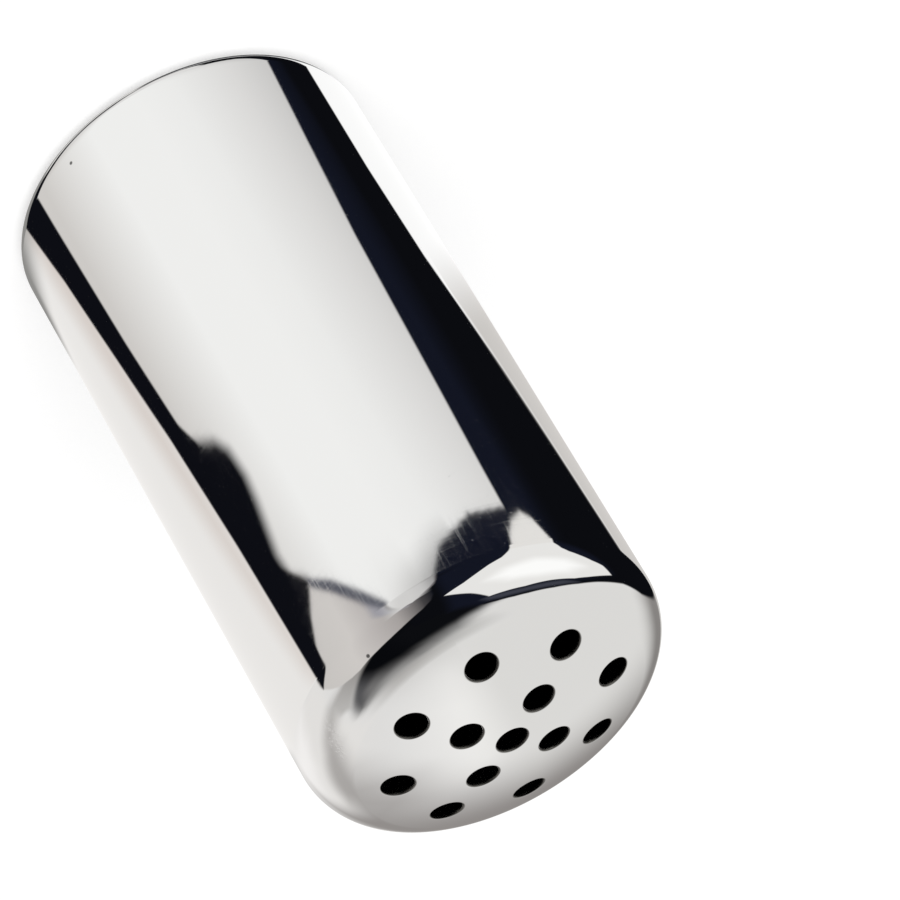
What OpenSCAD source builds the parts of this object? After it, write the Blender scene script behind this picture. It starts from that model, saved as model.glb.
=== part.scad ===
// Sprinkling shaker: a one-piece drawn steel shell with a perforated domed head,
// filled through its base, which a screw-in plug with a seal ring closes.
// +Z runs from the base up to the head, and the origin is at the base's centre.

/* [Shell] */
// Outside diameter of the body
body_d = 70; // [66:1:90]
// Height from the base to the top of the head
body_h = 142; // [90:1:200]
// Thickness of the steel sheet
sheet_t = 0.6; // [0.5:0.1:1.2]
// Outside radius of the turned-in base edge
rim_r = 4.5; // [3:0.5:6]
// Width of the flat lip that the shaker stands on
lip_w = 2; // [1.5:0.5:3]

/* [Head] */
// Spherical radius of the dome
dome_r = 85; // [75:1:140]
// Outside radius of the shoulder between the body and the dome
shoulder_r = 10.4; // [7:0.2:12]
// Diameter of each sprinkling hole
hole_d = 6; // [3:0.5:7]
// Number of holes in the inner ring
inner_holes = 4; // [3:1:6]
// Pitch circle diameter of the inner ring
inner_pcd = 20; // [18:0.5:24]
// Number of holes in the outer ring
outer_holes = 8; // [6:1:12]
// Pitch circle diameter of the outer ring
outer_pcd = 42.6; // [36:0.2:45]

/* [Thread] */
// Number of starts
thread_starts = 3; // [2:1:4]
// Distance between neighbouring ridges
thread_pitch = 4; // [3.7:0.1:4.3]
// Depth of a ridge
thread_depth = 1.2; // [0.8:0.1:1.6]
// Width of a ridge at its root
ridge_root_w = 2.1; // [1.6:0.1:2.2]
// Width of a ridge at its crest
ridge_crest_w = 1.1; // [0.8:0.1:1.3]
// Height of the collar's ridges where they start
ridge_start_z = 2.6; // [2.2:0.1:3]

/* [Collar] */
// Height of the collar's top above the base
collar_top = 13.6; // [13.2:0.1:20]
// Thickness of the threaded wall
collar_wall = 1.4; // [1:0.1:2]
// Thickness of the outer skirt
skirt_t = 1.2; // [0.8:0.1:2]
// Thickness of the web that joins the wall and the skirt
web_t = 1.6; // [1.2:0.1:2.4]
// How far the shelf for the seal ring reaches in from the thread's grooves
shelf_w = 2.7; // [2.4:0.1:3.2]
// Number of ribs under the web
rib_count = 12; // [6:1:24]
// Thickness of a rib
rib_t = 1; // [0.8:0.1:1.6]

/* [Plug] */
// How far the plug's edge sits above the surface that the shaker stands on
plug_recess = 1.2; // [0.8:0.1:2]
// Thickness of the plug's threaded wall
plug_wall = 1.6; // [1.2:0.1:2.4]
// Thickness of the plug's closing plate
plate_t = 1.6; // [1.2:0.1:2]
// How far the closing plate's boss stands above the shoulder
boss_h = 1.8; // [1.7:0.1:2.4]
// Width of the grip bar
grip_w = 6; // [4:0.5:9]
// Radius of the grip bar's bottom edges
grip_edge_r = 1.5; // [0.5:0.25:2]
// How far the grip bar sits above the plug's edge
grip_recess = 0.4; // [0:0.1:1]

/* [Seal ring] */
// Thickness of the ring, closed
seal_t = 1.4; // [1:0.1:1.6]
// Width of the ring
seal_w = 1.8; // [1.4:0.1:1.9]
// How far the retaining bead stands out over the ring
bead_w = 0.3; // [0.2:0.05:0.4]

/* [Fits] */
// Gap between the shell and the collar pressed into it
seat_gap = 0.05; // [0.02:0.01:0.2]
// Gap between the lip and the plug's thread crests
mouth_gap = 0.5; // [0.4:0.1:1]
// Gap between thread crests and the grooves they run in
thread_gap = 0.3; // [0.2:0.05:0.5]
// Running gap between the seal ring and the plug's boss
seal_gap = 0.08; // [0.03:0.01:0.1]
// Gap between the seal ring and the bead over it
bead_gap = 0.05; // [0.02:0.01:0.1]

/* [Hidden] */
$fn = 96;
sink = 0.4; // how far a rib or a ridge is sunk into the wall that it stands on

body_r = body_d / 2;
rim_x = body_r - rim_r; // centre of the turned-in edge's arc
mouth_r = rim_x - lip_w;
dome_z = body_h - dome_r; // centre of the dome's sphere
shoulder_x = body_r - shoulder_r; // centre of the shoulder's arc
shoulder_z = dome_z + sqrt(pow(dome_r - shoulder_r, 2) - pow(shoulder_x, 2));

plug_crest_r = mouth_r - mouth_gap;
plug_root_r = plug_crest_r - thread_depth;
collar_groove_r = plug_crest_r + thread_gap;
collar_crest_r = plug_root_r + thread_gap;
shelf_r = collar_groove_r - shelf_w;

thread_lead = thread_pitch * thread_starts; // rise in one full turn
ridge_sweep = 360 / thread_starts;
ridge_angle = 33; // where the first ridge starts, clear of the walls' own seam at angle 0
ridge_steps = 20;
fade_steps = 2; // a ridge rises to its full depth in this many steps at each end
flank = (ridge_root_w - ridge_crest_w) / 2 / thread_depth;

shelf_z = collar_top - web_t;
shoulder_top = shelf_z - seal_t; // the plug's shoulder, which carries the seal ring
boss_r = plug_root_r - seal_w;
boss_top = shoulder_top + boss_h;
bead_z = shelf_z + bead_gap; // the bead that keeps the seal ring on the boss
well_r = boss_r - plug_wall; // the recess inside the boss

// The shaker's half-section as a solid, drawn inset from its outside surface
module half_section(inset) {
    reach = dome_r + shoulder_r;
    lean = atan2(shoulder_x, shoulder_z - dome_z);
    translate([0, rim_r]) square([body_r - inset, shoulder_z - rim_r]);
    translate([0, inset]) square([rim_x, rim_r - inset]);
    translate([rim_x, rim_r]) circle(r = rim_r - inset);
    translate([shoulder_x, shoulder_z]) circle(r = shoulder_r - inset);
    intersection() {
        translate([0, dome_z]) circle(r = dome_r - inset);
        polygon([
            [0, shoulder_z], [shoulder_x, shoulder_z],
            [reach * sin(lean), dome_z + reach * cos(lean)], [0, dome_z + reach],
        ]);
    }
}

module hole_ring(count, pcd) {
    for (i = [0:count - 1])
        rotate(360 * i / count) translate([pcd / 2, 0, shoulder_z])
            cylinder(d = hole_d, h = body_h - shoulder_z + 1);
}

module shell() {
    color("silver") difference() {
        rotate_extrude() difference() {
            half_section(0);
            half_section(sheet_t);
        }
        translate([0, 0, -1]) cylinder(r = mouth_r, h = sheet_t + 2);
        hole_ring(1, 0);
        hole_ring(inner_holes, inner_pcd);
        hole_ring(outer_holes, outer_pcd);
    }
}

// The thread's ridges, one for each start, on a wall at radius root with crests at radius crest
module ridges(root, crest, start_z) {
    out = sign(crest - root);
    buried = root - out * sink;
    section = function (i)
        let (rise = min(1, (i + 0.3) / fade_steps, (ridge_steps - i + 0.3) / fade_steps),
             tip = root + out * thread_depth * rise,
             low = out * (ridge_root_w / 2 + flank * sink),
             high = out * (ridge_root_w / 2 - flank * thread_depth * rise),
             turn = ridge_sweep * i / ridge_steps,
             z = start_z + thread_lead * turn / 360)
        [for (p = [[buried, -low], [tip, -high], [tip, high], [buried, low]])
            [p[0] * cos(turn), p[0] * sin(turn), z + p[1]]];
    last = 4 * ridge_steps;
    for (k = [0:thread_starts - 1])
        rotate(ridge_angle + k * ridge_sweep)
            polyhedron(
                points = [for (i = [0:ridge_steps]) each section(i)],
                faces = [
                    [3, 2, 1, 0], [last, last + 1, last + 2, last + 3],
                    for (i = [0:ridge_steps - 1], j = [0:3])
                        let (a = 4 * i + j, b = 4 * i + (j + 1) % 4) [a, b, b + 4, a + 4],
                ]
            );
}

module thread_collar() {
    outer_r = body_r - sheet_t - seat_gap;
    edge_r = rim_r - sheet_t - seat_gap;
    seat_z = sheet_t + seat_gap;
    channel_r = collar_groove_r + collar_wall;
    color("dimgray") union() {
        rotate_extrude() difference() {
            union() {
                translate([collar_groove_r, seat_z]) square([rim_x - collar_groove_r, rim_r]);
                translate([rim_x, rim_r]) circle(r = edge_r);
                translate([collar_groove_r, rim_r]) square([outer_r - collar_groove_r, collar_top - rim_r]);
                translate([shelf_r, shelf_z]) square([outer_r - shelf_r, web_t]);
            }
            translate([channel_r, 0]) square([outer_r - skirt_t - channel_r, shelf_z]);
            translate([0, -1]) square([collar_groove_r, shelf_z + 1]);
        }
        for (i = [0:rib_count - 1])
            rotate(360 * i / rib_count) translate([channel_r - sink, -rib_t / 2, rim_r])
                cube([outer_r - skirt_t - channel_r + 2 * sink, rib_t, shelf_z - rim_r + sink]);
        ridges(collar_groove_r, collar_crest_r, ridge_start_z);
    }
}

module seal_ring() {
    color("whitesmoke") translate([0, 0, shoulder_top]) difference() {
        cylinder(r = plug_root_r, h = seal_t);
        translate([0, 0, -1]) cylinder(r = boss_r + seal_gap, h = seal_t + 2);
    }
}

// The bar across the plug's recess, with round bottom edges, cut to the recess's two widths
module grip_bar() {
    bar_z = plug_recess + grip_recess;
    side_x = grip_w / 2 - grip_edge_r;
    intersection() {
        rotate([90, 0, 90]) translate([0, 0, -plug_root_r]) linear_extrude(2 * plug_root_r) {
            translate([-grip_w / 2, bar_z + grip_edge_r]) square([grip_w, boss_top - bar_z - grip_edge_r]);
            translate([-side_x, bar_z]) square([2 * side_x, boss_top - bar_z]);
            for (side = [-1, 1]) translate([side * side_x, bar_z + grip_edge_r]) circle(r = grip_edge_r);
        }
        union() {
            cylinder(r = plug_root_r - plug_wall / 2, h = shoulder_top - plate_t / 2);
            cylinder(r = boss_r - plug_wall / 2, h = boss_top - plate_t / 2);
        }
    }
}

module base_plug() {
    color("#222222") union() {
        rotate_extrude() {
            translate([plug_root_r - plug_wall, plug_recess]) square([plug_wall, shoulder_top - plug_recess]);
            translate([well_r, shoulder_top - plate_t]) square([plug_root_r - well_r, plate_t]);
            translate([well_r, shoulder_top - plate_t]) square([plug_wall, boss_top - shoulder_top + plate_t]);
            translate([0, boss_top - plate_t]) square([boss_r, plate_t]);
            translate([0, bead_z]) square([boss_r + bead_w, boss_top - bead_z]);
        }
        grip_bar();
        ridges(plug_root_r, plug_crest_r, ridge_start_z + thread_pitch / 2);
    }
}

shell();
thread_collar();
seal_ring();
base_plug();
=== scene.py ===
import math

import bmesh
import bpy
import numpy as np
from mathutils import Matrix, Vector


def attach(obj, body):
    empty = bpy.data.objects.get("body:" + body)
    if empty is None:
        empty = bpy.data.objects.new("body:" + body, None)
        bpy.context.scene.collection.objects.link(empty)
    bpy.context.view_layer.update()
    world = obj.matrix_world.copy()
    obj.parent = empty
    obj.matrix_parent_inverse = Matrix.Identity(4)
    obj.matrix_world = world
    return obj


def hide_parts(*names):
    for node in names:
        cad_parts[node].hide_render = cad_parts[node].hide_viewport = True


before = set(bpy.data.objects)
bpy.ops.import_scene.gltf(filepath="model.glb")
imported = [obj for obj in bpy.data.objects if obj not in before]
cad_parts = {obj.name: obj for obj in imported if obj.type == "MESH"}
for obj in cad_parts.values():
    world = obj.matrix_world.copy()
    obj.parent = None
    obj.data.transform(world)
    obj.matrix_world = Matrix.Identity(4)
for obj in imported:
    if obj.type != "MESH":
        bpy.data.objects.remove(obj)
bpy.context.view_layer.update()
scene = bpy.context.scene
scene.view_settings.view_transform = "Standard"
mm = 0.001


def linear(*levels):  # levels from 0 to 255, as a screen shows them
    return [v / 3294.6 if v <= 10 else ((v / 255 + 0.055) / 1.055) ** 2.4 for v in levels]


class Wire:  # a node's socket that takes part in plain arithmetic
    def __init__(self, pen, socket):
        self.pen, self.socket = pen, socket

    def maths(self, operation, *values):
        return self.pen.add("ShaderNodeMath", dict(enumerate(values)), {"operation": operation})

    def __add__(self, other):
        return self.maths("ADD", self, other)

    def __radd__(self, other):
        return self.maths("ADD", other, self)

    def __sub__(self, other):
        return self.maths("SUBTRACT", self, other)

    def __rsub__(self, other):
        return self.maths("SUBTRACT", other, self)

    def __mul__(self, other):
        return self.maths("MULTIPLY", self, other)

    def __rmul__(self, other):
        return self.maths("MULTIPLY", other, self)

    def __truediv__(self, other):
        return self.maths("DIVIDE", self, other)

    def __pow__(self, other):
        return self.maths("POWER", self, other)

    def ramp(self, low, high):  # 0 below low, 1 above high and smooth between them
        return self.pen.add("ShaderNodeMapRange", {"Value": self, "From Min": low, "From Max": high},
                            {"interpolation_type": "SMOOTHSTEP"})


class Pen:  # adds nodes to a tree
    def __init__(self, tree):
        self.tree = tree

    def pick(self, sockets, key):
        if isinstance(key, int):
            return sockets[key]
        return next((s for s in sockets if s.identifier == key), None) or sockets[key]

    def add(self, kind, values=None, settings=None, output=0):
        node = self.tree.nodes.new(kind)
        for name, value in (settings or {}).items():
            setattr(node, name, value)
        for key, given in (values or {}).items():
            for value in given if isinstance(given, list) else [given]:
                socket = self.pick(node.inputs, key)
                if isinstance(value, Wire):
                    self.tree.links.new(value.socket, socket)
                else:
                    socket.default_value = value
        if output is None:
            return [Wire(self, o) for o in node.outputs]
        return Wire(self, self.pick(node.outputs, output)) if len(node.outputs) else None

    def vector(self, operation, first, second):
        output = "Value" if operation in ("DOT_PRODUCT", "DISTANCE") else "Vector"
        return self.add("ShaderNodeVectorMath", {0: first, 1: second}, {"operation": operation}, output)

    def noise(self, place, scale, detail, **more):
        return self.add("ShaderNodeTexNoise", {"Vector": place, "Scale": scale, "Detail": detail, **more})

    def blend(self, share, low, high):  # from one colour to another
        low, high = [c if isinstance(c, Wire) else (*c, 1) for c in (low, high)]
        return self.add("ShaderNodeMix", {"Factor_Float": share, "A_Color": low, "B_Color": high},
                        {"data_type": "RGBA"}, "Result_Color")

    def bump(self, height):  # a relief of this height in metres
        return self.add("ShaderNodeBump", {"Height": height, "Distance": 1.0, "Strength": 1.0})


def newMaterial(name):
    material = bpy.data.materials.new(name)
    material.use_nodes = True
    material.node_tree.nodes.clear()
    return material, Pen(material.node_tree)


def meshObject(name, verts, faces):
    mesh = bpy.data.meshes.new(name)
    mesh.from_pydata(verts, [], faces)
    mesh.update()
    obj = bpy.data.objects.new(name, mesh)
    scene.collection.objects.link(obj)
    return obj


# a ring turned from a closed outline of radius and height, counterclockwise; a radius of 0 is on the axis
def latheObject(name, loop, turns):
    count, verts, faces = len(loop), [], []
    for i in range(turns):
        c, w = math.cos(2 * math.pi * i / turns), math.sin(2 * math.pi * i / turns)
        verts += [(r * c * mm, r * w * mm, z * mm) for r, z in loop]
        for j in range(count):
            a, b = i * count + j, i * count + (j + 1) % count
            quad = (a, (a + count) % (turns * count), (b + count) % (turns * count), b)
            onAxis = [loop[j][0] == 0, loop[(j + 1) % count][0] == 0]
            if not all(onAxis):
                faces.append(quad[1:] if onAxis[0] else quad[:3] if onAxis[1] else quad)
    obj = meshObject(name, verts, faces)
    return merged(obj) if any(r == 0 for r, z in loop) else obj


# doubles joined, slivers taken out and all faces turned outwards
def merged(obj):
    work = bmesh.new()
    work.from_mesh(obj.data)
    bmesh.ops.remove_doubles(work, verts=work.verts, dist=1e-6)
    bmesh.ops.dissolve_degenerate(work, edges=work.edges, dist=1e-7)
    bmesh.ops.recalc_face_normals(work, faces=work.faces)
    work.to_mesh(obj.data)
    work.free()
    return obj


# an outline with its corners rounded, each given as (x, y) or (x, y, radius)
def rounded(corners, radius, steps=4):
    loop = []
    for k, corner in enumerate(corners):
        here, r = np.array(corner[:2], float), corner[2] if len(corner) > 2 else radius
        before = np.array(corners[k - 1][:2], float) - here
        after = np.array(corners[(k + 1) % len(corners)][:2], float) - here
        before, after = before / np.linalg.norm(before), after / np.linalg.norm(after)
        spread = math.acos(np.clip(before @ after, -1, 1))
        if r == 0 or here[0] == 0:
            loop.append(tuple(here))
            continue
        reach = r / math.tan(spread / 2)
        middle = here + (before + after) / np.linalg.norm(before + after) * r / math.sin(spread / 2)
        first, last = here + before * reach - middle, here + after * reach - middle
        for share in np.linspace(0, 1, steps + 1):
            way = first * (1 - share) + last * share
            loop.append(tuple(middle + way / np.linalg.norm(way) * r))
    return loop


# the camera stands where the shaker is seen from the side of its head
cameraSetup = {
    "position": (0.69706, -0.59052, 0.70632),
    "target": (-0.01470, -0.00948, 0.07890),
    "roll": -149.09,  # degrees about the line of sight
    "lens": 246.03, "sensor": 36,  # mm
}


def makeCamera(setup):
    data = bpy.data.cameras.new("camera")
    data.lens, data.sensor_width = setup["lens"], setup["sensor"]
    camera = bpy.data.objects.new("camera", data)
    place = Vector(setup["position"])
    turn = (Vector(setup["target"]) - place).to_track_quat("-Z", "Y").to_matrix().to_4x4()
    roll = Matrix.Rotation(-math.radians(setup["roll"]), 4, "Z")
    camera.matrix_world = Matrix.Translation(place) @ turn @ roll
    scene.collection.objects.link(camera)
    scene.camera = camera
    return math.degrees(math.atan2(place.y, place.x))


cameraSide = makeCamera(cameraSetup)
print("camera: set, on side", round(cameraSide, 2))


shell = {  # lengths in mm
    "bodyRadius": 35.0, "height": 142.0, "sheet": 0.6,
    "rimRadius": 4.5, "lipWidth": 2.0,
    "domeRadius": 85.0, "shoulderRadius": 10.4,
    "segments": 288,
    "holeDiameter": 6.0, "innerHoles": 4, "innerRing": 20.0, "outerHoles": 8, "outerRing": 42.6,
    "edgeRound": 0.35,  # radius of a hole's rolled edge
    "blankHole": 1.5,  # radius of the blank's opening, inside the centre hole
    "shoulderEase": 0.7,  # how far the shoulder's bend eases into the body and back
}


# centres of the rim's, shoulder's and dome's arcs, and where the dome begins
def shellArcs(s):
    rimX, domeZ = s["bodyRadius"] - s["rimRadius"], s["height"] - s["domeRadius"]
    shoulderX = s["bodyRadius"] - s["shoulderRadius"]
    shoulderZ = domeZ + math.sqrt((s["domeRadius"] - s["shoulderRadius"]) ** 2 - shoulderX ** 2)
    return rimX, domeZ, shoulderX, shoulderZ, math.atan2(shoulderZ - domeZ, shoulderX)


# radius, height and slope of the outside, from the lip's edge up to the centre hole
def shellProfile(s):
    rimX, domeZ, shoulderX, shoulderZ, lean = shellArcs(s)
    body, rim, dome, shoulder = s["bodyRadius"], s["rimRadius"], s["domeRadius"], s["shoulderRadius"]
    points = [(rimX - share * s["lipWidth"], 0.0, -math.pi / 2) for share in (0.85, 0.5, 0.2)]
    points += [(rimX + rim * math.cos(a), rim + rim * math.sin(a), a)
               for a in np.linspace(-math.pi / 2, 0, 17)]
    eased = [shoulderZ - share * s["shoulderEase"] for share in (1.0, 0.6, 0.25)]
    points += [(body, z, 0.0) for z in [*np.linspace(rim, shoulderZ, 15)[1:-1], *eased]]
    points += [(shoulderX + shoulder * math.cos(a), shoulderZ + shoulder * math.sin(a), a)
               for a in np.linspace(0, lean, 25)]
    last = math.pi / 2 - s["blankHole"] / dome
    points += [(dome * math.cos(a), domeZ + dome * math.sin(a), a) for a in np.linspace(lean, last, 30)[1:]]
    return points


# the closed shell before it is punched
def makeBlank(s):
    outside, sheet = shellProfile(s), s["sheet"]
    loop = [(r, z) for r, z, a in outside]
    loop += [(r - sheet * math.cos(a), z - sheet * math.sin(a)) for r, z, a in outside[::-1]]
    half = sheet / 2
    loop += [(outside[0][0] + half * math.cos(a), half + half * math.sin(a))
             for a in np.linspace(math.pi / 2, math.pi * 1.5, 9)[1:-1]]
    return latheObject("shaker_shell", loop, s["segments"])


# Geometry Nodes that punch the rings of holes, each with a rolled outer edge
def punchTree():
    tree = bpy.data.node_groups.new("punchHoles", "GeometryNodeTree")
    tree.interface.new_socket("Geometry", in_out="INPUT", socket_type="NodeSocketGeometry")
    ids = {}
    for name, kind in (("Hole Diameter", "Float"), ("Inner Holes", "Int"), ("Inner Ring", "Float"),
                       ("Outer Holes", "Int"), ("Outer Ring", "Float"), ("Dome Radius", "Float"),
                       ("Height", "Float"), ("Edge Round", "Float"), ("Steel", "Material")):
        socket = tree.interface.new_socket(name, in_out="INPUT", socket_type="NodeSocket" + kind)
        ids[name] = socket.identifier
    tree.interface.new_socket("Geometry", in_out="OUTPUT", socket_type="NodeSocketGeometry")
    pen = Pen(tree)
    given = {wire.socket.name: wire for wire in pen.add("NodeGroupInput", output=None)}

    rings = [pen.add("GeometryNodeMeshLine", {"Count": 1})]
    for name in ("Inner", "Outer"):
        rings.append(pen.add("GeometryNodeMeshCircle", {"Vertices": given[name + " Holes"],
                                                        "Radius": given[name + " Ring"] * 0.5}))
    places = pen.add("GeometryNodeJoinGeometry", {"Geometry": rings})
    position = pen.add("GeometryNodeInputPosition")
    spread = pen.vector("DOT_PRODUCT", position, position)
    domeZ = given["Height"] - given["Dome Radius"]
    rise = (given["Dome Radius"] ** 2.0 - spread) ** 0.5 + domeZ
    onDome = pen.add("GeometryNodeSetPosition", {
        "Geometry": places, "Offset": pen.add("ShaderNodeCombineXYZ", {"Z": rise})})
    away = pen.vector("SUBTRACT", position, pen.add("ShaderNodeCombineXYZ", {"Z": domeZ}))
    outward = pen.add("FunctionNodeAlignRotationToVector", {"Vector": away}, {"axis": "Z"})

    radius, roll = given["Hole Diameter"] * 0.5, given["Edge Round"]
    sides, stroke, collar = 80, 12 * mm, 4 * mm  # a punch's sides and reach, and a trumpet's collar
    punch = pen.add("GeometryNodeMeshCylinder", {"Vertices": sides, "Radius": radius, "Depth": stroke},
                    None, "Mesh")
    holes = pen.add("GeometryNodeInstanceOnPoints", {"Points": onDome, "Instance": punch})

    rollSteps = 5  # the rolled edge is cut by a trumpet that ends in a straight collar
    trumpet = pen.add("GeometryNodeMeshCylinder", {"Vertices": sides, "Side Segments": rollSteps + 1,
                                                   "Radius": radius, "Depth": 1.0}, None, "Mesh")
    x, y, z = pen.add("ShaderNodeSeparateXYZ", {0: position}, None, None)
    climb = (z + 0.5) * (math.pi / 2 * (rollSteps + 1) / rollSteps)
    turn = climb.maths("MINIMUM", climb, math.pi / 2)
    widen = 1 + roll * (1 - turn.maths("COSINE", turn)) / radius
    sag = (radius + roll) ** 2.0 / (given["Dome Radius"] * 2)
    height = roll * (turn.maths("SINE", turn) - 1) - sag + (climb - turn) * collar
    flare = pen.add("GeometryNodeSetPosition", {
        "Geometry": trumpet,
        "Position": pen.add("ShaderNodeCombineXYZ", {"X": x * widen, "Y": y * widen, "Z": height})})
    flares = pen.add("GeometryNodeInstanceOnPoints", {
        "Points": onDome, "Instance": flare, "Rotation": outward})

    work = given["Geometry"]
    for cutters in (holes, flares):
        real = pen.add("GeometryNodeRealizeInstances", {"Geometry": cutters})
        work = pen.add("GeometryNodeMeshBoolean", {"Mesh 1": work, "Mesh 2": real},
                       {"operation": "DIFFERENCE", "solver": "EXACT"}, "Mesh")
    real = pen.add("GeometryNodeRealizeInstances", {"Geometry": work})
    done = pen.add("GeometryNodeSetMaterial", {"Geometry": real, "Material": given["Steel"]})
    pen.add("NodeGroupOutput", {0: done})
    return tree, ids


# the evaluated object's mesh in place of its modifiers
def applied(obj):
    made = bpy.data.meshes.new_from_object(obj.evaluated_get(bpy.context.evaluated_depsgraph_get()))
    obj.modifiers.clear()
    old, obj.data = obj.data, made
    bpy.data.meshes.remove(old)
    made.name = obj.name
    return obj


def punchShell(obj, s, steel):
    tree, ids = punchTree()
    step = obj.modifiers.new("punchHoles", "NODES")
    step.node_group = tree
    values = {"Hole Diameter": s["holeDiameter"] * mm, "Inner Holes": s["innerHoles"],
              "Inner Ring": s["innerRing"] * mm, "Outer Holes": s["outerHoles"],
              "Outer Ring": s["outerRing"] * mm, "Dome Radius": s["domeRadius"] * mm,
              "Height": s["height"] * mm, "Edge Round": s["edgeRound"] * mm, "Steel": steel}
    for name, value in values.items():
        step[ids[name]] = value
    return merged(applied(obj))


# the middles of the holes, on the dome
def holePlaces(s):
    places = [(0.0, 0.0)]
    for count, ring in ((s["innerHoles"], s["innerRing"]), (s["outerHoles"], s["outerRing"])):
        places += [(ring / 2 * math.cos(a), ring / 2 * math.sin(a))
                   for a in (2 * math.pi * k / count for k in range(count))]
    domeZ = s["height"] - s["domeRadius"]
    return [np.array([x, y, domeZ + math.sqrt(s["domeRadius"] ** 2 - x * x - y * y)]) for x, y in places]


# of each face corner its vertex, its normal and its face's normal, and each vertex's place in mm
def readCorners(mesh):
    def read(items, name, kind=float, width=3):
        values = np.empty(len(items) * width, kind)
        items.foreach_get(name, values)
        return values.reshape(-1, width) if width > 1 else values

    corner = read(mesh.loops, "vertex_index", np.int32, 1)
    sizes = read(mesh.polygons, "loop_total", np.int32, 1)
    face = np.repeat(read(mesh.polygons, "normal"), sizes, axis=0)
    return corner, read(mesh.corner_normals, "vector"), face, read(mesh.vertices, "co") / mm


# how far the shell's skin leans up, by distance from the axis and height, and where it is the dome
def skinSlope(r, z, s):
    rimX, domeZ, shoulderX, shoulderZ, lean = shellArcs(s)
    out, up = np.ones_like(r), np.zeros_like(r)
    head = z > shoulderZ
    out[head], up[head] = r[head] - shoulderX, z[head] - shoulderZ
    dome = head & (np.arctan2(z - domeZ, r) > lean)
    out[dome], up[dome] = r[dome], z[dome] - domeZ
    rim = z < s["rimRadius"]
    out[rim], up[rim] = np.maximum(r[rim] - rimX, 0), z[rim] - s["rimRadius"]
    slope, ease = np.arctan2(up, out), s["shoulderEase"]
    past = np.where(head, s["shoulderRadius"] * slope, z - shoulderZ)  # the way from the bend's start
    slope += np.maximum(ease - np.abs(past), 0) ** 2 / (4 * ease * s["shoulderRadius"])
    return slope, dome


# exact normals on the outside and inside, so that the holes' edges don't dent the reflections
def polishNormals(obj, s):
    mesh = obj.data
    onSkin, onRoll, behind = 0.985, 0.9, 0.12  # cosines between a face's normal and the exact one
    mesh.shade_smooth()
    mesh.set_sharp_from_angle(angle=math.radians(35))
    corner, normals, face, co = readCorners(mesh)
    r, z, domeZ = np.maximum(np.hypot(co[:, 0], co[:, 1]), 1e-6), co[:, 2], s["height"] - s["domeRadius"]
    slope, dome = skinSlope(r, z, s)
    skin = np.stack([co[:, 0] / r * np.cos(slope), co[:, 1] / r * np.cos(slope), np.sin(slope)], -1)
    side = (face * skin[corner]).sum(-1)
    near = np.abs(side) > onSkin
    normals[near] = skin[corner][near] * np.sign(side[near])[:, None]
    inside = (side < behind).astype(np.float32)

    depth = s["domeRadius"] - np.hypot(r, z - domeZ)
    for place in holePlaces(s):  # a hole's edge turns from the dome's normal to its wall's
        axis = (place - (0, 0, domeZ)) / s["domeRadius"]
        away = co - place
        away -= (away @ axis)[:, None] * axis
        gap = np.linalg.norm(away, axis=1)
        share = (gap - s["holeDiameter"] / 2) / s["edgeRound"]
        turn = 1 - np.clip(share, 0, 1)[:, None]
        bent = np.sqrt(1 - turn ** 2) * skin - turn * away / np.maximum(gap, 1e-6)[:, None]
        rolled = (dome & (share > -0.1) & (share < 1) & (depth < s["edgeRound"] * 1.3))[corner]
        rolled &= (face * bent[corner]).sum(-1) > onRoll
        normals[rolled] = bent[corner][rolled]
        # toward the wall the rolled edge takes the roughness and the painted shade of the inside
        inside[rolled] = np.maximum(inside, np.clip(turn[corner, 0] * 4 - 0.6, 0, 1))[rolled]
    mesh.normals_split_custom_set(normals)
    # 1 on the unpolished inside and on the holes' walls, rising toward the walls over the rolled edges;
    # there the steel gets real roughness and a painted shade, a dark colour for the shade in the holes
    inner = mesh.attributes.new("inside", "FLOAT", "CORNER")
    inner.data.foreach_set("value", inside)


# mirror-polished stainless steel: hairlines, lines along the draw, wiping scratches, smears and specks, and
# a painted shade on the inside and in the holes
steelFinish = {
    "colour": (0.835, 0.835, 0.83), "roughness": 0.012,
    # what each adds to the roughness
    "hairlines": 0.012, "bands": 0.012, "drawLines": 0.016, "scratches": 0.06, "smears": 0.006,
    "rubbed": 0.25, "pitted": 0.3, "inside": 0.38,
    # how fine each is, in waves to a metre
    "hairlineScale": 3200, "bandScale": 700, "drawLineScale": (5200, 60), "patchScale": 90.0,
    "smearScale": 42.0, "gritScale": 1500.0, "waveScale": 34.0,
    # wiping scratches: how each set is turned, how fine it is and how much of it is left out
    "scratchSets": [((0.4, 0.9, 0.3), 2600, 0.72), ((1.2, -0.5, 2.1), 2300, 0.73)], "scratchLength": 110,
    # a painted shade: the dark colour of the inside and the holes' walls stands in for the shade in them
    "insideShadeColour": (0.14, 0.135, 0.125), "pitColour": (0.02, 0.02, 0.02),
    "hairlineDepth": 0.00003, "waveDepth": 0.003, "rubbedDepth": 0.007,  # mm
    # a rubbed place on the shoulder: its middle in mm, its way, its half width in mm, and its stretch
    # from 0 for round to 1 for endless
    "rubbedPlace": (31.1, 8.4, 134.5), "rubbedWay": (-0.616, 0.717, 0.327), "rubbedWidth": 2.0,
    "rubbedStretch": 0.93,
    # dark pits: the middle of each in mm, and their radius in mm
    "pits": [(32.74, -9.29, 131.81), (34.19, -7.48, 6.4)], "pitRadius": 0.45,
}


def inMetres(place):
    return tuple(v * mm for v in place)


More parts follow.
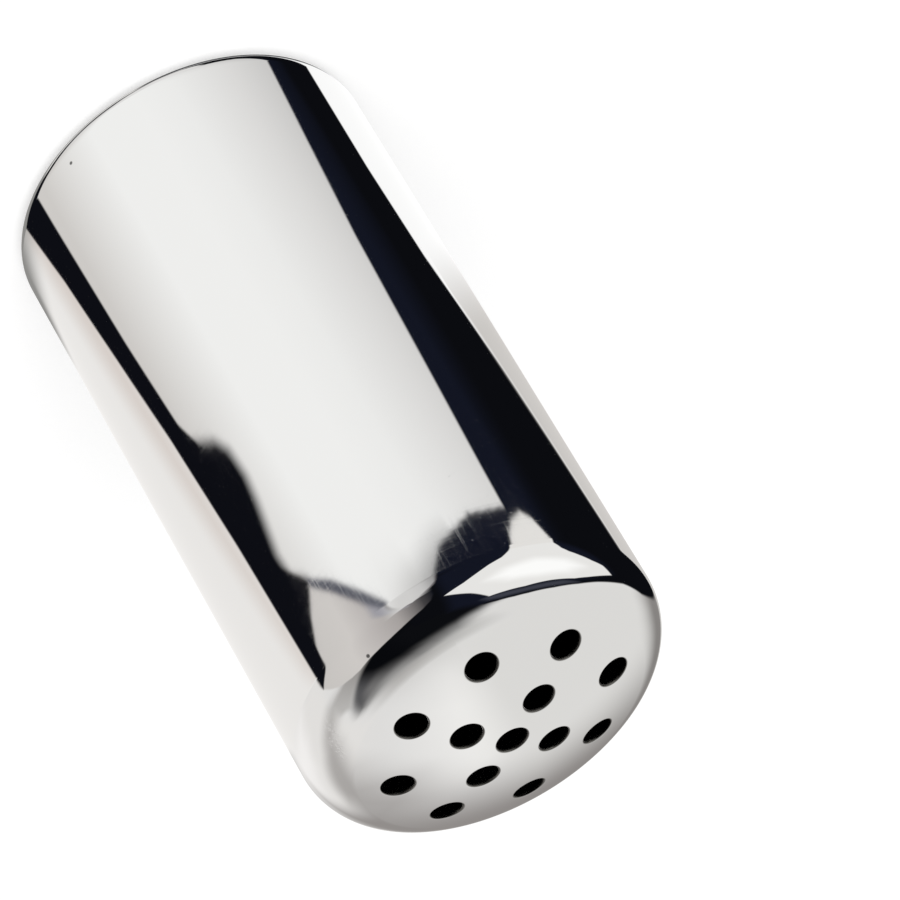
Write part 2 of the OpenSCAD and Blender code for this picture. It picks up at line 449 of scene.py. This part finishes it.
def polishedSteel(f):
    material, pen = newMaterial("polishedSteel")
    place = pen.add("ShaderNodeTexCoord", output="Object")
    x, y, z = pen.add("ShaderNodeSeparateXYZ", {0: place}, None, None)
    radius = (x * x + y * y + 1e-9) ** 0.5
    along = z + radius * 0.9  # the way over the body and the head, roughly

    def turned(wander, fine, detail):  # lines that run around the axis
        way = pen.add("ShaderNodeCombineXYZ", {
            "X": x / radius * wander, "Y": y / radius * wander, "Z": along * fine})
        return pen.noise(way, 1.0, detail, Roughness=0.7)

    def scratchSet(turn, fine, low):
        stretch = (f["scratchLength"], fine, fine)
        way = pen.add("ShaderNodeMapping", {"Vector": place, "Rotation": turn, "Scale": stretch})
        return pen.noise(way, 1.0, 2.0, Roughness=0.6).ramp(low, low + 0.05)

    hairlines, bands = turned(0.5, f["hairlineScale"], 3.0), turned(1.6, f["bandScale"], 4.0)
    across, down = f["drawLineScale"]
    drawWay = pen.add("ShaderNodeCombineXYZ", {"X": x * across, "Y": y * across, "Z": z * down})
    drawLines = pen.noise(drawWay, 1.0, 3.0, Roughness=0.6)
    patches = pen.noise(place, f["patchScale"], 2.0).ramp(0.4, 0.62)
    first, second = f["scratchSets"]
    scratches = scratchSet(*first) + scratchSet(*second)
    smears = pen.noise(place, f["smearScale"], 3.0, Roughness=0.6, Distortion=0.6).ramp(0.5, 0.78)

    away = pen.vector("SUBTRACT", place, inMetres(f["rubbedPlace"]))
    length = pen.vector("DOT_PRODUCT", away, f["rubbedWay"])
    aside = (pen.vector("DOT_PRODUCT", away, away) - length * length * f["rubbedStretch"]) ** 0.5
    grit = pen.noise(place, f["gritScale"], 3.0).ramp(0.52, 0.6)
    rubbed = (1 - aside.ramp(f["rubbedWidth"] * 0.2 * mm, f["rubbedWidth"] * mm)) * grit
    inside = pen.add("ShaderNodeAttribute", None, {"attribute_name": "inside"}, "Fac")
    pitted = 0.0
    for pit in f["pits"]:
        gap = pen.vector("DISTANCE", place, inMetres(pit))
        pitted = pitted + (1 - gap.ramp(f["pitRadius"] * 0.5 * mm, f["pitRadius"] * mm))

    roughness = (f["roughness"] + hairlines.ramp(0.45, 0.8) * f["hairlines"]
                 + bands.ramp(0.55, 0.8) * f["bands"]
                 + drawLines.ramp(0.5, 0.72) * patches * f["drawLines"]
                 + scratches * f["scratches"] + smears * f["smears"] + rubbed * f["rubbed"]
                 + inside * f["inside"] + pitted * f["pitted"])
    # the inside and the holes' walls are darkened by a painted shade, besides their real roughness
    colour = pen.blend(inside, f["colour"], f["insideShadeColour"])
    colour = pen.blend(pitted * 0.8, colour, f["pitColour"])
    wave = pen.noise(place, f["waveScale"], 1.0)
    height = (hairlines * (f["hairlineDepth"] * mm) + wave * (f["waveDepth"] * mm)
              + rubbed * (f["rubbedDepth"] * mm))
    shader = pen.add("ShaderNodeBsdfPrincipled", {
        "Base Color": colour, "Metallic": 1.0, "Roughness": roughness, "Normal": pen.bump(height)})
    pen.add("ShaderNodeOutputMaterial", {"Surface": shader})
    return material


shaker = punchShell(makeBlank(shell), shell, polishedSteel(steelFinish))
polishNormals(shaker, shell)
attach(shaker, "shell")
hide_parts("shell")
print("shell: punched,", len(shaker.data.polygons), "faces")


# moulded plastic and silicone: a fine spark-eroded grain, its width and depth in mm, and faint flow marks
plastics = {
    "thread_collar": {"name": "collarPlastic", "colour": (0.10, 0.10, 0.11), "roughness": 0.42,
                      "grain": 0.30, "depth": 0.010},
    "seal_ring": {"name": "sealSilicone", "colour": (0.78, 0.78, 0.76), "roughness": 0.48,
                  "grain": 0.45, "depth": 0.004},
    "base_plug": {"name": "plugPlastic", "colour": (0.035, 0.035, 0.040), "roughness": 0.38,
                  "grain": 0.28, "depth": 0.012},
}


def mouldedPlastic(p):
    material, pen = newMaterial(p["name"])
    place = pen.add("ShaderNodeTexCoord", output="Object")
    grain = pen.noise(place, 1 / (p["grain"] * mm), 2.0)
    flow = pen.noise(place, 60.0, 3.0, Distortion=1.0)
    paler = [min(1, c * 1.25 + 0.004) for c in p["colour"]]
    shader = pen.add("ShaderNodeBsdfPrincipled", {
        "Base Color": pen.blend(flow.ramp(0.4, 0.75), p["colour"], paler),
        "Roughness": flow * 0.12 + p["roughness"], "IOR": 1.49,
        "Normal": pen.bump(grain * (p["depth"] * mm))})
    pen.add("ShaderNodeOutputMaterial", {"Surface": shader})
    return material


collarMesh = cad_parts["thread_collar"].data
collarMesh.materials.clear()
collarMesh.materials.append(mouldedPlastic(plastics["thread_collar"]))
print("collar: finished")


seal = {  # mm
    "outside": 26.8, "inside": 25.08, "bottom": 10.6, "top": 12.0, "edge": 0.3, "segments": 144,
}


def makeSeal(s):
    ring = latheObject("seal_ring_soft", rounded([
        (s["inside"], s["bottom"]), (s["outside"], s["bottom"]), (s["outside"], s["top"]),
        (s["inside"], s["top"])], s["edge"]), s["segments"])
    ring.data.shade_smooth()
    ring.data.materials.append(mouldedPlastic(plastics["seal_ring"]))
    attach(ring, "seal")
    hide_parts("seal_ring")


makeSeal(seal)
print("seal: turned")


plug = {  # mm
    "root": 26.8, "crest": 28.0, "wall": 1.6, "bottom": 1.2, "shoulder": 10.6, "plate": 1.6,
    "bossRadius": 25.0, "bossTop": 12.4, "beadWidth": 0.3, "beadBottom": 12.05, "segments": 144,
    # radii of its edges: the wall's, the boss's foot, the bead's and the corners inside
    "edge": 0.25, "footEdge": 0.15, "beadEdge": 0.1, "bossEdge": 0.2, "cornerEdge": 0.5, "wellEdge": 0.3,
    "gripWidth": 6.0, "gripEdge": 1.5, "gripBottom": 1.6, "gripSink": 0.8,
    "threadStarts": 3, "threadPitch": 4.0, "threadFoot": 2.1, "threadTip": 1.1, "threadBottom": 4.6,
    "threadAngle": 33.0, "threadSteps": 40, "threadFade": 4, "threadEdge": 0.3,
    "threadSink": 0.4, "threadFlare": 0.17,  # how far a ridge reaches into the wall, and widens on the way
}


# one helical ridge, fading in and out at its ends
def threadRidge(p, start):
    foot, tip = p["threadFoot"] / 2 + p["threadFlare"], p["threadTip"] / 2
    deep, fade = p["root"] - p["threadSink"], p["threadFade"]
    corners = [(deep, -foot, 0), (p["crest"], -tip), (p["crest"], tip), (deep, foot, 0)]
    outline = rounded(corners, p["threadEdge"])
    count, steps, verts, faces = len(outline), p["threadSteps"], [], []
    sweep = 360 / p["threadStarts"]
    for i in range(steps + 1):
        rise = min(1, (i + 0.6) / fade, (steps - i + 0.6) / fade)
        angle = math.radians(start + sweep * i / steps)
        lift = p["threadBottom"] + p["threadPitch"] * i / steps
        for r, z in outline:
            far = p["root"] + (r - p["root"]) * rise if r > p["root"] else r
            verts.append((far * math.cos(angle) * mm, far * math.sin(angle) * mm, (z + lift) * mm))
        if i:
            for j in range(count):
                a, b = (i - 1) * count + j, (i - 1) * count + (j + 1) % count
                faces.append((a, b, b + count, a + count))
    faces += [tuple(range(count)), tuple(range(steps * count, (steps + 1) * count))]
    return merged(meshObject("ridge", verts, faces))


# the bar that fingers turn, with round bottom edges, reaching into the wall and up into the plate
def gripBar(p, reach, top):
    half, low, r = p["gripWidth"] / 2, p["gripBottom"], p["gripEdge"]
    outline = rounded([(-half, low, r), (half, low, r), (half, top, 0), (-half, top, 0)], 0, 6)
    count = len(outline)
    verts = [(x * mm, y * mm, z * mm) for x in (-reach, reach) for y, z in outline]
    faces = [(i, (i + 1) % count, (i + 1) % count + count, i + count) for i in range(count)]
    faces += [tuple(range(count)), tuple(range(count, 2 * count))]
    return merged(meshObject("grip", verts, faces))


def makePlug(p):
    inside, well = p["root"] - p["wall"], p["bossRadius"] - p["wall"]
    step, ceiling = p["shoulder"] - p["plate"], p["bossTop"] - p["plate"]
    boss, bead = p["bossRadius"], p["bossRadius"] + p["beadWidth"]
    section = [
        (inside, p["bottom"]), (p["root"], p["bottom"]), (p["root"], p["shoulder"]),
        (boss, p["shoulder"], p["footEdge"]), (boss, p["beadBottom"], p["beadEdge"]),
        (bead, p["beadBottom"], p["beadEdge"]), (bead, p["bossTop"], p["bossEdge"]),
        (0, p["bossTop"]), (0, ceiling),
        (well, ceiling, p["cornerEdge"]), (well, step, p["wellEdge"]), (inside, step, p["cornerEdge"])]
    body = latheObject("base_plug_moulded", rounded(section, p["edge"], 3), p["segments"])
    sink, starts = p["gripSink"], p["threadStarts"]
    parts = [gripBar(p, inside + sink, step + sink), gripBar(p, well + sink, ceiling + sink)]
    parts += [threadRidge(p, p["threadAngle"] + 360 / starts * k) for k in range(starts)]
    for part in parts:
        join = body.modifiers.new("join", "BOOLEAN")
        join.operation, join.solver, join.object = "UNION", "EXACT", part
    body.data.materials.append(mouldedPlastic(plastics["base_plug"]))
    for part in parts:
        part.data.materials.append(body.data.materials[0])
    merged(applied(body))
    for part in parts:
        bpy.data.objects.remove(part)
    body.data.shade_smooth()
    body.data.set_sharp_from_angle(angle=math.radians(32))
    body.modifiers.new("weighted", "WEIGHTED_NORMAL").keep_sharp = True
    applied(body)
    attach(body, "plug")
    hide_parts("base_plug")
    print("plug: moulded,", len(body.data.polygons), "faces")


makePlug(plug)


# what the steel reflects: cards, flags and a softbox around the object, as outlines in degrees,
# by side (from the camera's own, positive to its left) and by height above the horizon
studio = {
    "radius": 60.0, "fill": (222, 221, 220), "reflectance": 0.85,
    "cards": [
        # name, level, softness of the edge (side, height), outline
        ("ceiling", {-180: (202, 201, 199), -120: (205, 204, 202), -60: (200, 199, 197),
                     10: (188, 187, 186), 100: (176, 174, 172), 180: (202, 201, 199)}, (20, 20), [
            (-400, 76), (-75, 74), (-30, 66), (60, 62), (130, 62), (160, 70), (400, 78), (400, 120),
            (-400, 120)]),
        ("overhead", (242, 241, 239), (24, 24), [
            (172, 26), (168, 40), (164, 54), (172, 64), (196, 62), (210, 50), (208, 34), (190, 28)]),
        ("leftWall", (219, 218, 216), (10, 10), [
            (-182, -10), (-150, -16), (-132, 3), (-118, 12), (-100, 36), (-75, 50), (-45, 58),
            (-45, 72), (-182, 72)]),
        ("rightWall", (226, 224, 222), (12, 12), [
            (86, -33), (80, -12), (88, 20), (96, 36), (110, 50), (140, 56), (150, 40), (158, -33)]),
        ("rightFade", {80: (188, 186, 184), 104: (176, 173, 171), 150: (168, 165, 163)}, (20, 20), [
            (72, 8), (78, 20), (90, 25), (104, 27), (118, 34), (134, 36), (150, 36), (159, 31),
            (162, 22), (150, 12), (132, 13), (116, 15), (100, 11), (86, 6)]),
        ("rimGlow", (240, 238, 237), (24, 24), [
            (114, -32), (114, -12), (126, -2), (140, -6), (152, -20), (152, -32)]),
        ("rimShade", {-180: (140, 136, 134), -164: (130, 127, 125), -148: (134, 131, 129),
                      -130: (148, 145, 143), 140: (160, 156, 154), 160: (146, 142, 140),
                      180: (140, 136, 134)}, (19, 34), [
            (152, -17), (153, 5), (157, 22), (163, 24), (171, 17), (181, 10), (192, 9), (204, 8),
            (214, 6), (226, 0), (234, -8), (225, -34), (180, -34), (170, -26), (160, -20)]),
        ("tailHaze", (148, 147, 146), (16, 16), [
            (30, 60), (40, 82), (60, 80), (76, 76), (88, 68), (100, 60), (105, 54), (96, 50), (80, 46),
            (50, 50)]),
        ("greyTail", (112, 111, 111), (11, 14), [
            (30, 16), (60, 24), (72, 30), (84, 37), (92, 43), (103, 49), (100, 53), (85, 56), (70, 59),
            (30, 64)]),
        ("darkTail", (84, 84, 86), (10, 10), [
            (48, 19), (60, 25), (72, 32), (84, 39.5), (92, 45), (97, 50), (88, 50), (76, 45),
            (58, 42)]),
        ("blackFlag", (8, 9, 12), (19, 46), [
            (-32, -10), (-31, 58), (-14, 74), (4, 77), (22, 77), (46, 70), (59, 56), (64, 42),
            (64, -10)]),
        ("tailFoot", {56: (150, 147, 145), 84: (182, 180, 178)}, (8, 8), [
            (46, 17), (55, 21.5), (63, 26), (72, 31), (80, 35), (87, 38), (90, 28), (84, 12), (60, 8)]),
        ("zenith", (187, 186, 184), (10, 16), [(-400, 84), (400, 84), (400, 120), (-400, 120)]),
        ("archEnd", (12, 13, 16), (16, 16), [
            (-52, 44), (-44, 54), (-30, 59), (-10, 62), (12, 60), (32, 50), (32, 20), (-20, 20)]),
        ("arch", (11, 12, 16), (2, 2), [
            (-153, -20), (-145, -12), (-135, -1), (-120, 9), (-105, 24.8), (-97, 34.2), (-85, 44),
            (-70, 51.4), (-60, 54), (-45, 55), (-34, 54), (-20, 44), (16, 30), (16, -40), (-60, -66),
            (-150, -80), (-150, -41), (-165, -34)]),
        ("archEdge", (19, 22, 34), (10, 10), [
            (-96, -38), (-88, -34.5), (-86, -32), (-92, -22), (-110, 4), (-97, 26), (-86, 38),
            (-75, 44), (-55, 50), (-30, 52), (-8, 40), (-8, -30), (-60, -45), (-96, -50)]),
        ("archTop", (62, 64, 74), (6, 6), [
            (-95, 32), (-86, 39), (-73, 45.5), (-60, 49.5), (-46, 51), (-36, 49), (-30, 44), (-45, 44),
            (-60, 43), (-72, 38.5), (-84, 33)]),
        ("softbox", (231, 230, 228), (1, 1), [
            (-110.5, 7.5), (-97, 22), (-90, 28), (-75, 33.5), (-60, 40), (-45, 42), (-35, 43),
            (-30, 37), (-22, 26), (-7.5, 9), (-20, 2.5), (-28, -4.5), (-37, -13), (-46, -19.5),
            (-52, -27), (-56, -31.5), (-83, -31.5), (-82.5, -20), (-85, -14), (-90, -9), (-97, -3.5),
            (-104, -0.5)]),
        ("softboxGlow", (253, 253, 252), (16, 16), [
            (-90, 8), (-82, 20), (-64, 25), (-46, 24), (-34, 14), (-44, 3), (-62, -4), (-80, 0)]),
        ("softboxFoot", (226, 224, 221), (1, 0.06), [
            (-54.5, -30), (-57, -33.15), (-61, -33.32), (-67, -33.42), (-75, -33.45), (-80, -33.34),
            (-85.2, -33.03), (-83, -30)]),
        ("backdrop", (249, 249, 249), (1, 0.1), [
            (-190, -20), (-165, -22), (-152, -28), (-143, -32.7), (-137, -34), (-133, -34.7),
            (-127, -35.4), (-122, -36), (-119, -37), (-120, -39.5), (-127, -46), (-138, -56),
            (-140, -75), (-190, -75)]),
        ("floorShade", (34, 35, 39), (14, 5), [
            (112, -46), (150, -43), (180, -41), (204, -42), (218, -48), (214, -70), (180, -84),
            (112, -84)]),
        ("farWall", (200, 197, 194), (2, 1.1), [
            (-190, -35.7), (-128, -35.6), (-133, -34.7), (-137, -34), (-143, -32.7), (-152, -28),
            (-165, -22), (-190, -20)]),
        ("beigeWall", {-3: (18, 20, 28), 4: (68, 66, 68), 20: (167, 162, 160), 36: (188, 183, 181),
                       52: (206, 202, 199), 84: (198, 195, 192)}, (2, 2), [
            (-3, -40), (-3, -5), (0, 4), (6, 10), (14, 13.5), (22, 16.5), (30, 18.2), (40, 18.8),
            (47, 18.4), (56, 19), (62, 16), (69, 9), (74, -1), (77, -8), (80, -15), (88, -34),
            (60, -60), (20, -60)]),
        ("seamShade", (158, 157, 164), (5, 5), [
            (12, -10), (20, -16), (27, -24), (33, -32), (36, -36), (18, -36)]),
        ("tableEdge", (116, 113, 115), (2.5, 2.5), [
            (-10.5, -36), (-6, -22), (-1, -16), (9, -10.4), (15, -13), (19.5, -18), (22.5, -25),
            (25.5, -36)]),
        ("table", {-9: (146, 145, 145), -4: (170, 169, 169), 2: (200, 199, 199), 9: (220, 219, 219),
                   16: (228, 228, 227)}, (2, 2), [
            (-9, -36), (-7, -27), (-3, -21), (5, -14), (9, -12), (13, -14), (17, -18), (20, -25),
            (24, -36)]),
        ("fin", (12, 13, 19), (1.6, 1.6), [
            (76, -34), (76.5, -30), (78, -22), (80, -14), (82, -21), (84, -27), (88, -34)]),
        ("lowWall", (232, 230, 228), (3, 0.15), [
            (84, -32.6), (88, -33.8), (100, -38.5), (120, -60), (182, -75), (182, -32.6)]),
        ("lowWarm", (214, 206, 201), (20, 0.7), [
            (86, -33), (92, -33.2), (104, -34.8), (122, -37.6), (122, -39), (104, -38), (92, -35)]),
        ("lowShade", (138, 137, 135), (8, 0.7), [
            (104, -38.3), (125, -38), (150, -37.5), (164, -37), (182, -37), (182, -60), (120, -60)]),
        ("lowBox", {-84: (203, 202, 201), -60: (219, 218, 217), -24: (236, 236, 235), 0: (240, 240, 239),
                    36: (240, 240, 239), 84: (206, 203, 200)}, (1.6, 0.04), [
            (-67, -33.57), (-45, -33.68), (-20, -33.56), (-7, -33.3), (5, -33.22), (22, -33.27),
            (45, -33.7), (70, -34.15), (90, -36), (93.5, -38.35), (98, -60), (60, -75), (-60, -75),
            (-96, -60), (-90, -39), (-88.5, -38.35), (-82.7, -37.5), (-76.5, -36.5), (-71.5, -35),
            (-68.1, -34)]),
        ("lowBoxShade", {-11: (150, 149, 149), -4: (156, 155, 155), 2: (180, 179, 178),
                         9: (195, 194, 193), 20: (216, 215, 214)}, (8, 0.6), [
            (18, -33.2), (9, -33.38), (2, -33.42), (-4, -33.45), (-11, -33.52), (-17, -33.57),
            (-23, -33.6), (-28, -33.59), (-28, -33.0), (18, -33.0)]),
        ("archFoot", (19, 22, 34), (1.6, 0.04), [
            (-45, -33.68), (-20, -33.56), (-7, -33.3), (-10, -33.2), (-11, -32.4), (-42, -32.4)]),
        ("tableShade", {3: (195, 194, 193), 9: (207, 206, 205), 18: (210, 209, 208)}, (14, 1.6), [
            (3, -13), (3, -33.2), (16, -33.2), (22, -33), (22, -13)]),
        ("seam", (86, 88, 98), (4, 0.04), [
            (22, -33.24), (35, -33.44), (48, -33.68), (60, -33.85), (60, -33.94), (45, -33.8),
            (32, -33.56), (22, -33.34)]),
        ("lowFin", (13, 14, 20), (1.4, 0.04), [
            (58, -33.86), (68, -33.58), (75, -33.33), (78.7, -33.02), (80, -32.5), (86, -32.5),
            (88.1, -33.5), (90.3, -34.5), (95.6, -35.7), (102.5, -36.6), (110, -37.5), (119, -38.15),
            (126, -60), (105, -75), (97, -60), (95, -39.5), (91.9, -38), (88.1, -36.7), (83.7, -35.8),
            (76, -35.5), (74, -34.2), (60, -33.95)]),
        ("finBulge", (13, 14, 20), (8, 0.2), [
            (58, -33.93), (66, -34.02), (67, -34.25), (60.5, -34.8), (58.5, -35.05), (60, -35.35),
            (66, -35.5), (82, -35.6), (86, -35), (84, -33.9)]),
    ],
}


middleHeight = 0.07  # m, where the studio is centred and the lamp aims


# signed distance to an outline in units of its edge's softness, positive inside
def edgeDistance(side, height, outline, softness):
    points = np.array(outline, float)
    middle = (points[:, 0].min() + points[:, 0].max()) / 2
    side = (side - middle + 180) % 360 - 180 + middle
    scale = np.clip(np.cos(np.radians(height)), 0.15, 1) / softness[0]
    best, inside = np.full(side.shape, 1e9), np.zeros(side.shape, bool)
    for (x0, y0), (x1, y1) in zip(points, np.roll(points, -1, axis=0)):
        dx, dy = (x1 - x0) * scale, (y1 - y0) / softness[1]
        qx, qy = (side - x0) * scale, (height - y0) / softness[1]
        t = np.clip((qx * dx + qy * dy) / (dx * dx + dy * dy + 1e-12), 0, 1)
        best = np.minimum(best, np.hypot(qx - t * dx, qy - t * dy))
        if y0 != y1:
            crossing = x0 + (height - y0) / (y1 - y0) * (x1 - x0)
            inside ^= ((y0 > height) != (y1 > height)) & (side < crossing)
    return np.where(inside, best, -best)


# a far dome that only reflections see, lit by its cards
def makeStudio(setup, cameraSide):
    sides = np.arange(0, 360, 0.5)
    low, high = -39, -32.5  # between them lies all that the upright body mirrors to the camera
    heights = np.concatenate([np.arange(-90, low, 1.5), np.arange(low, high, 0.035),
                              np.arange(high, 90.1, 0.5)])
    side, height = (g.ravel() for g in np.meshgrid(sides, heights))
    light = np.tile(linear(*setup["fill"]), (len(side), 1))
    for name, level, softness, outline in setup["cards"]:
        cover = np.clip(edgeDistance(side, height, outline, softness) + 0.5, 0, 1)
        cover = (cover * cover * (3 - 2 * cover))[:, None]
        stops = level if isinstance(level, dict) else {0: level}  # a level may change from side to side
        signed = (side + 180) % 360 - 180
        channels = zip(*(linear(*v) for v in stops.values()))
        tone = [np.interp(signed, list(stops), channel) for channel in channels]
        light = light * (1 - cover) + np.stack(tone, -1) * cover
    a, e = np.radians(side + cameraSide), np.radians(height)
    verts = np.stack([np.cos(e) * np.cos(a), np.cos(e) * np.sin(a), np.sin(e)], -1) * setup["radius"]
    verts[:, 2] += middleHeight
    wide, rows = len(sides), len(heights)
    j, i = np.meshgrid(np.arange(rows - 1), np.arange(wide), indexing="ij")
    i2, below, above = (i + 1) % wide, j * wide, (j + 1) * wide
    faces = np.stack([below + i, below + i2, above + i2, above + i], -1).reshape(-1, 4)
    dome = meshObject("studioDome", verts.tolist(), faces.tolist())
    colours = dome.data.color_attributes.new("light", "FLOAT_COLOR", "POINT")
    rgba = np.ones((len(side), 4), np.float32)
    rgba[:, :3] = light / setup["reflectance"]  # so that the steel shows a card at its own level
    colours.data.foreach_set("color", rgba.ravel())
    material, pen = newMaterial("studioLight")
    glow = pen.add("ShaderNodeAttribute", None, {"attribute_name": "light"}, "Color")
    shine = pen.add("ShaderNodeEmission", {"Color": glow, "Strength": 1.0})
    pen.add("ShaderNodeOutputMaterial", {"Surface": shine})
    material.cycles.emission_sampling = "NONE"
    dome.data.materials.append(material)
    for kind in ("camera", "diffuse", "transmission", "volume_scatter", "shadow"):
        setattr(dome, "visible_" + kind, False)


makeStudio(studio, cameraSide)
print("studio: built")


room = {
    "floorRadius": 2.5, "floorLevel": 0.62, "floorGlow": 0.46,  # the glow is only seen, and lights nothing
    "lampSize": 1.6, "lampPower": 26.0, "lampPlace": (0.8, -0.68, 1.9), "skyStrength": 0.62,
}


def directSight(pen):  # 1 where a ray comes straight from the camera, a mirror or glass
    seen = {wire.socket.name: wire for wire in pen.add("ShaderNodeLightPath", output=None)}
    total = seen["Is Camera Ray"] + seen["Is Glossy Ray"] + seen["Is Transmission Ray"]
    return total.maths("MINIMUM", total, 1)


# the white floor, the big soft lamp and the even light around
def makeRoom(setup):
    corners, far = 96, setup["floorRadius"]
    ring = [(far * math.cos(a), far * math.sin(a), 0.0)
            for a in (2 * math.pi * i / corners for i in range(corners))]
    floor = meshObject("floor", ring, [tuple(range(corners))])
    material, pen = newMaterial("floorPaper")
    paper = pen.add("ShaderNodeBsdfDiffuse", {"Color": (*[setup["floorLevel"]] * 3, 1)})
    glow = pen.add("ShaderNodeEmission", {"Strength": directSight(pen) * setup["floorGlow"]})
    both = pen.add("ShaderNodeAddShader", {0: paper, 1: glow})
    below = pen.add("ShaderNodeNewGeometry", output="Backfacing")  # seen from below, the floor is clear
    clear = pen.add("ShaderNodeBsdfTransparent")
    surface = pen.add("ShaderNodeMixShader", {0: below, 1: both, 2: clear})
    pen.add("ShaderNodeOutputMaterial", {"Surface": surface})
    floor.data.materials.append(material)
    floor.visible_glossy = False  # the steel shows the studio's cards and not the paper
    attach(floor, "plug")  # the floor sinks with the plug, so that it never cuts it

    lamp = bpy.data.lights.new("softLamp", "AREA")
    lamp.shape, lamp.size, lamp.energy = "DISK", setup["lampSize"], setup["lampPower"]
    holder = bpy.data.objects.new("softLamp", lamp)
    holder.location = setup["lampPlace"]
    holder.rotation_mode = "QUATERNION"
    aim = Vector((0, 0, middleHeight)) - holder.location
    holder.rotation_quaternion = aim.to_track_quat("-Z", "Y")
    holder.visible_glossy = False
    scene.collection.objects.link(holder)

    scene.world = bpy.data.worlds.new("room")
    scene.world.use_nodes = True
    scene.world.node_tree.nodes.clear()
    pen = Pen(scene.world.node_tree)
    strength = setup["skyStrength"] + directSight(pen) * (1 - setup["skyStrength"])
    sky = pen.add("ShaderNodeBackground", {"Color": (1, 1, 1, 1), "Strength": strength})
    pen.add("ShaderNodeOutputWorld", {"Surface": sky})


makeRoom(room)
print("room: lit")
